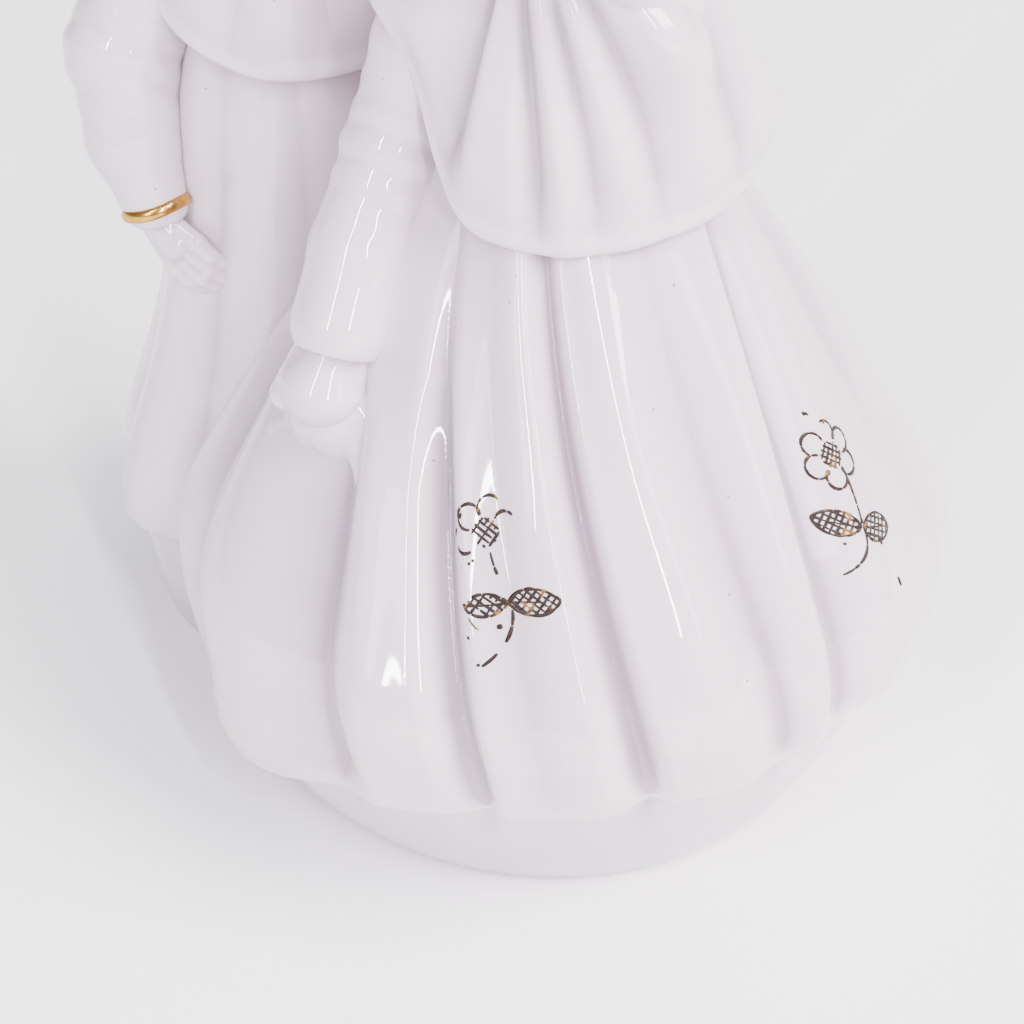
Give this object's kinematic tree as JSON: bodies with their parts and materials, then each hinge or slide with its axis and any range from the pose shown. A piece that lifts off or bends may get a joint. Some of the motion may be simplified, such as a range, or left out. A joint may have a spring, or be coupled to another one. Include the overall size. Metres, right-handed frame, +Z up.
{
  "type": "porcelain madonna group",
  "caption": "Glazed porcelain madonna in a wide fluted skirt, holding a child, with a robed companion behind, on an undercut foot.",
  "frame": {"origin": "centre of the footprint, at the level of the foot ring", "axes": "+Z up, -Y is the madonna's front, +X is her left"},
  "size_m": [0.1206, 0.1084, 0.163],
  "materials": {
    "porcelain_glaze": "gloss clear glaze over white porcelain",
    "foot_porcelain": "gloss glaze, bare ground foot ring",
    "bracelet_gilding": "fired bright gold, worn"
  },
  "bodies": {
    "root": {"foot": "foot_porcelain", "madonna_skirt": "porcelain_glaze", "madonna_torso": "porcelain_glaze", "madonna_right_sleeve": "porcelain_glaze", "madonna_right_hand": "porcelain_glaze", "madonna_left_sleeve": "porcelain_glaze", "madonna_left_hand": "porcelain_glaze", "madonna_head": "porcelain_glaze", "madonna_veil": "porcelain_glaze", "madonna_skirt_gather": "porcelain_glaze", "companion_robe": "porcelain_glaze", "companion_torso": "porcelain_glaze", "companion_right_sleeve": "porcelain_glaze", "companion_right_hand": "porcelain_glaze", "companion_left_sleeve": "porcelain_glaze", "companion_left_hand": "porcelain_glaze", "companion_head": "porcelain_glaze", "companion_veil": "porcelain_glaze", "companion_bracelet": "bracelet_gilding", "child_head": "porcelain_glaze", "child_body": "porcelain_glaze", "child_right_arm": "porcelain_glaze", "child_left_arm": "porcelain_glaze"}
  },
  "joints": []
}
